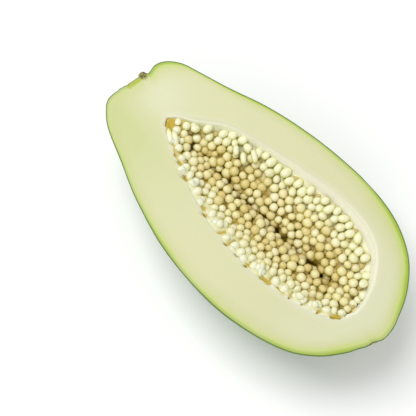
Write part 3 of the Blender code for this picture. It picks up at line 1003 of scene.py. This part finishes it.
def relaxSeeds(flat, lift, radii, gaps, uneven, drop):  # seeds that are too close push each other apart
    s = seedPiece
    reach = (radii[:, None] + radii[None, :]) * s["touch"]
    for _ in range(s["rounds"]):
        points = np.column_stack([flat, lift - bedDepth(flat[:, 0], flat[:, 1]) - drop])
        gap = points[:, None, :] - points[None, :, :]
        distance = np.linalg.norm(gap, axis=2) + np.eye(len(flat)) * 99
        push = np.clip(reach - distance, 0, None)[..., None] * gap / distance[..., None]
        flat = flat + 0.35 * push.sum(1)[:, :2]
        away = flat[:, None, :] - gaps[None, :, :2]
        far = np.maximum(np.linalg.norm(away, axis=2), 1e-6)
        push = np.clip(gaps[None, :, 2] - far, 0, None)[..., None] * away / far[..., None]
        flat = flat + 0.5 * push.sum(1)
        farY, nearY, _ = sectionAt(flat[:, 0])
        narrow = np.minimum(1.0, (farY - nearY) / s["fullWidth"])
        flat[:, 0] = np.clip(flat[:, 0], s["rows"][0], s["rows"][1] - 1.0)
        low = nearY + (s["nearInset"] + 0.5 * uneven) * narrow
        flat[:, 1] = np.clip(flat[:, 1], low, farY - (farInset(flat[:, 0]) + uneven) * narrow)
    return np.column_stack([flat, lift - bedDepth(flat[:, 0], flat[:, 1]) - drop])


def spreadSeeds(draw, layer):
    s = seedPiece
    pitch = s["pitch"][layer]
    drop = layer * s["layerDrop"]
    flat = []
    (x, last), staggered = s["rows"], False
    while x < last:
        farY, nearY, _ = (float(v) for v in sectionAt(x))
        narrow = min(1.0, (farY - nearY) / s["fullWidth"])
        y = nearY + s["nearInset"] * narrow + (0.5 * pitch if staggered else 0.0)
        while y <= farY - farInset(x) * narrow:
            shift = pitch * s["jitter"]
            flat.append((x + draw.uniform(-shift, shift), y + draw.uniform(-shift, shift)))
            slope = (float(bedDepth(x, y + 1.0)) - float(bedDepth(x, y - 1.0))) / 2
            y += pitch / math.sqrt(1 + slope * slope)
        x += 0.866 * pitch  # rows of equal triangles
        staggered = not staggered
    flat = np.array(flat)
    count = len(flat)
    radii = np.array([draw.uniform(*s["radius"]) for _ in range(count)])
    lift = np.array([draw.gauss(0, s["lift"]) for _ in range(count)])
    uneven = np.array([draw.uniform(0, s["uneven"]) for _ in range(count)])
    gaps = np.array(s["gaps"])
    if layer == 0:  # the upper seeds also keep off the pits and the listed seeds
        margin = s["pitMargin"]
        pits = [(x1 + t * (x2 - x1), y1 + t * (y2 - y1), radius + margin)
                for x1, y1, x2, y2, radius in fleshPiece["pits"] for t in (0.0, 0.5, 1.0)]
        first = [(x, y, radius + s["firstMargin"]) for x, y, _, radius in s["first"]]
        gaps = np.vstack([gaps, pits, first])
    points = relaxSeeds(flat, lift, radii, gaps, uneven, drop)
    if layer == 0:
        points = np.vstack([points, [seed[:3] for seed in s["first"]]])
        radii = np.append(radii, [seed[3] for seed in s["first"]])
    return points, radii


def seedDirection(x, y, draw):  # from the stalk to the free end
    s = seedPiece
    share = float(bedShare(x, y))
    start, power, most = s["lean"]
    lean = max(0.0, (abs(share) - start) / (1 - start)) ** power
    toMiddle = s["middleX"] - x
    inward = Vector((0.45 * math.copysign(min(1, abs(toMiddle) / 80), toMiddle), -math.copysign(1, share), -0.1))
    direction = Vector((0, 0, 1.0)) * (1.0 - most * lean) + inward * lean
    direction += Vector((draw.gauss(0, 1), draw.gauss(0, 1), draw.gauss(0, 0.6))) * s["scatter"]
    return direction.normalized()


def makeSeedModel():
    s = seedPiece
    deselectAll()
    bpy.ops.mesh.primitive_cube_add(size=2.0)
    seed = bpy.context.object
    seed.name = "seedModel"
    setMode("EDIT")
    bpy.ops.mesh.select_all(action="SELECT")
    bpy.ops.mesh.subdivide(number_cuts=2)
    bpy.ops.transform.tosphere(value=1.0)
    setMode("OBJECT")
    p = meshPoints(seed)
    p /= np.linalg.norm(p, axis=1)[:, None]
    drop = np.clip(-p[:, 2], 0, 1)
    p[:, :2] *= (1 - s["taper"] * drop ** 1.5)[:, None]  # narrower towards the stalk
    p[:, 2] *= 1.0 + s["tail"] * drop
    lumpHeight, lumpSize = s["lumps"]
    p *= (1 + lumpHeight * softNoise(p, lumpSize, 7))[:, None]
    setPoints(seed, p)
    bpy.ops.object.shade_smooth()
    return seed


def joinCopies(name, copies, material):
    deselectAll()
    for obj in copies:
        obj.select_set(True)
    bpy.context.view_layer.objects.active = copies[0]
    bpy.ops.object.join()
    made = bpy.context.object
    made.name = made.data.name = name
    made.data.materials.clear()
    made.data.materials.append(material)
    made.select_set(False)
    return made


def randomTurn(draw, direction):  # the seed's long axis on a direction, and a random turn about it
    spin = Matrix.Rotation(draw.uniform(0, 6.283), 3, "Z").to_quaternion()
    return direction.to_track_quat("Z", "Y") @ spin


def copyInto(model, turn, place, scale, tone, rim, side, deepShade):
    made = model.copy()
    made.data = model.data.copy()
    bpy.context.collection.objects.link(made)
    centre = toFrame([place])[0]
    made.data.transform(Matrix.LocRotScale(Vector(centre), turn, Vector(scale) * mm))
    reach = meshPoints(made) - centre
    setAttribute(made, "seedUp", reach[:, 2] / np.linalg.norm(reach, axis=1))
    for name, value in (("seedTone", tone), ("seedRim", rim), ("seedSide", side), ("seedDeepShade", deepShade)):
        setAttribute(made, name, np.full(len(made.data.vertices), value))
    return made


# Pale seeds and stalks cut through along the -Y rim
rimPiece = {
    "rows": (56.0, 209.0),  # from x to x
    "spacing": 3.4,
    "inset": (-0.8, 5.5),
    "width": (2.3, 3.4),
    "length": (2.5, 3.8),
    # stalks, given one by one: both ends and half the width, all in mm
    "stalks": (
        (41.4, -5.2, -1.7, 51.6, -10.2, -1.7, 2.1),
        (44.6, -2.8, -2.0, 54.6, -8.2, -2.2, 2.2),
        (151.5, -15.6, -2.3, 157.8, -24.2, -2.3, 2.1),
        (86.4, 22.9, -3.2, 92.4, 18.8, -4.2, 2.1),
        (89.4, 29.2, -2.9, 97.0, 25.4, -4.4, 2.1),
        (79.6, 22.6, -3.2, 84.6, 18.6, -4.2, 2.1),
    ),
}


def stalkInto(model, start, end, wide):
    along = end - start
    turn = along.normalized().to_track_quat("Z", "Y")
    model = model.copy()
    model.data = model.data.copy()
    points = meshPoints(model)
    height = np.clip(np.abs(points[:, 2]), 0, 0.98)
    points[:, :2] *= np.sqrt((1 - height ** 6) / (1 - height ** 2))[:, None]  # blunt ends
    setPoints(model, points)
    scale = (wide, wide, along.length / 2 + 0.4)
    made = copyInto(model, turn, (start + end) / 2, scale, tone=0.3, rim=1.0, side=0.6, deepShade=0.0)
    bpy.data.objects.remove(model)
    return made


def rimSeeds(draw, model):
    copies = []
    x, last = rimPiece["rows"]
    while x < last:
        nearY = float(sectionAt(x)[1])
        slope = (float(sectionAt(x + 2)[1]) - float(sectionAt(x - 2)[1])) / 4
        inset = draw.uniform(*rimPiece["inset"])
        wide, long = draw.uniform(*rimPiece["width"]), draw.uniform(*rimPiece["length"])
        place = Vector((x, nearY + inset, -wide * draw.uniform(0.7, 1.1)))
        direction = Vector((draw.gauss(-slope, 0.8), 1.0, draw.uniform(0.0, 0.35))).normalized()
        along = np.array([place + direction * step for step in (-2.0, 0.0, 2.0)])
        if pitMask(along[:, 0], along[:, 1], 1.5).max() < 0.05:
            turn = randomTurn(draw, direction)
            scale = (wide, wide * draw.uniform(0.85, 1.1), long)
            tone = draw.uniform(0, 0.5)
            copies.append(copyInto(model, turn, place, scale, tone=tone, rim=1.0, side=0.0, deepShade=0.0))
        x += rimPiece["spacing"] * draw.uniform(0.5, 1.5) / math.sqrt(1 + slope * slope)
    for x1, y1, z1, x2, y2, z2, wide in rimPiece["stalks"]:
        copies.append(stalkInto(model, Vector((x1, y1, z1)), Vector((x2, y2, z2)), wide))
    return copies


def makeSeeds():
    draw = random.Random(seedPiece["draw"])
    model = makeSeedModel()
    copies = []
    upper = 0
    for layer in (0, 1):
        places, radii = spreadSeeds(draw, layer)
        for (x, y, z), size in zip(places, radii):
            share = float(bedShare(x, y))
            if layer and abs(share) > 0.9:
                continue
            direction = seedDirection(x, y, draw)
            farY, nearY, _ = (float(v) for v in sectionAt(x))
            inset = y - nearY if share < 0 else farY - y - float(farInset(x))
            nearRim = max(0.0, min(1.0, 1.45 - inset / 10.0))
            atRim = max(0.0, min(1.0, 1.3 - inset / 4.0))
            length = size * (draw.uniform(0.96, 1.25) + nearRim * draw.uniform(0.0, 0.3))
            width = size * (draw.uniform(0.9, 1.04) - 0.06 * nearRim)
            place = Vector((x, y, z))
            if layer == 0 and share < 0:  # cut through at the rim, so flush with the flesh
                place.z += atRim * draw.uniform(0.2, 1.6)
            turn = randomTurn(draw, direction)
            scale = (width, width * draw.uniform(0.84, 1.1), length)
            tone = draw.random()
            # how much painted shade a seed gets: all of it in the lower layer, and more the deeper it lies
            deepShade = max(float(layer), 0.85 * max(0.0, min(1.0, (-z - 7.5) / 11.0)))
            copies.append(copyInto(model, turn, place, scale, tone, nearRim, float(share > 0), deepShade))
            upper += 1 - layer
    copies += rimSeeds(draw, model)
    bpy.data.objects.remove(model)
    seeds = joinCopies("seeds", copies, seedMaterial)
    points = meshPoints(seeds)
    points[:, 2] = np.minimum(points[:, 2], (fruit["cutHeight"] - 0.14) * mm)
    setPoints(seeds, points)
    return seeds, upper


skin = makeSkin()
print("skin made")
flesh = makeFlesh()
print("flesh made")
seedBed = makeBed()
seeds, upperCount = makeSeeds()
print("seeds made:", upperCount, "on top")

for piece, node, slotName in (
    (skin, "papaya_half", "skin"),
    (flesh, "papaya_half", "flesh"),
    (seedBed, "seed_mass", "seeds"),
    (seeds, "seed_mass", "seeds"),
):
    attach(piece, "root")
    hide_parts(node)

# Floor, light and camera
stage = {
    "floorSize": 6.0,
    "floorColour": (0.90, 0.90, 0.89),
    "floorCloud": (0.91, 0.91, 0.905),
    "skyStrength": 0.64,
    "keyPlace": (-1.0, -0.1, 2.1),
    "keySize": 1.3,
    "keyPower": 33.0,
    "fillPlace": (1.3, -1.2, 1.5),
    "fillSize": 1.2,
    "fillPower": 8.0,
    "aim": (0, 0, 0.04),
}


def makeStage():
    deselectAll()
    bpy.ops.mesh.primitive_plane_add(size=stage["floorSize"])
    floor = bpy.context.object
    floor.name = "floor"
    material, m = newMaterial("paleFloor")
    cloud = m.noise(m.objectPlace(), 3.0)
    colour = m.mix(m.span(cloud, 0.3, 0.7, 0.0, 0.5), stage["floorColour"], stage["floorCloud"])
    m.surface({"Base Color": colour, "Roughness": 0.6})
    floor.data.materials.append(material)
    world = bpy.data.worlds.new("studio")
    bpy.context.scene.world = world
    world.use_nodes = True
    back = world.node_tree.nodes["Background"]
    back.inputs["Color"].default_value = (1.0, 1.0, 1.0, 1.0)
    back.inputs["Strength"].default_value = stage["skyStrength"]
    for name in ("key", "fill"):
        data = bpy.data.lights.new(name + "Light", "AREA")
        data.energy = stage[name + "Power"]
        data.size = stage[name + "Size"]
        lamp = bpy.data.objects.new(name + "Light", data)
        bpy.context.collection.objects.link(lamp)
        place = Vector(stage[name + "Place"])
        aim = Vector(stage["aim"]) - place
        lamp.matrix_world = Matrix.LocRotScale(place, aim.to_track_quat("-Z", "Y"), Vector((1, 1, 1)))


cameraView = {
    "target": (-0.017785, -0.02555, 0.062),
    "azimuth": 49.885,
    "elevation": 75.0,
    "distance": 0.6857,
    "lens": 90.0,
}


def makeCamera():
    view = cameraView
    azimuth, elevation = math.radians(view["azimuth"]), math.radians(view["elevation"])
    level = math.cos(elevation)
    back = Vector((math.sin(azimuth) * level, -math.cos(azimuth) * level, math.sin(elevation)))
    data = bpy.data.cameras.new("camera")
    data.lens = view["lens"]
    camera = bpy.data.objects.new("camera", data)
    bpy.context.collection.objects.link(camera)
    place = Vector(view["target"]) + back * view["distance"]
    camera.matrix_world = Matrix.LocRotScale(place, back.to_track_quat("Z", "Y"), Vector((1, 1, 1)))
    bpy.context.scene.camera = camera
    bpy.context.scene.view_settings.view_transform = "Standard"


makeStage()
makeCamera()
print("stage set")
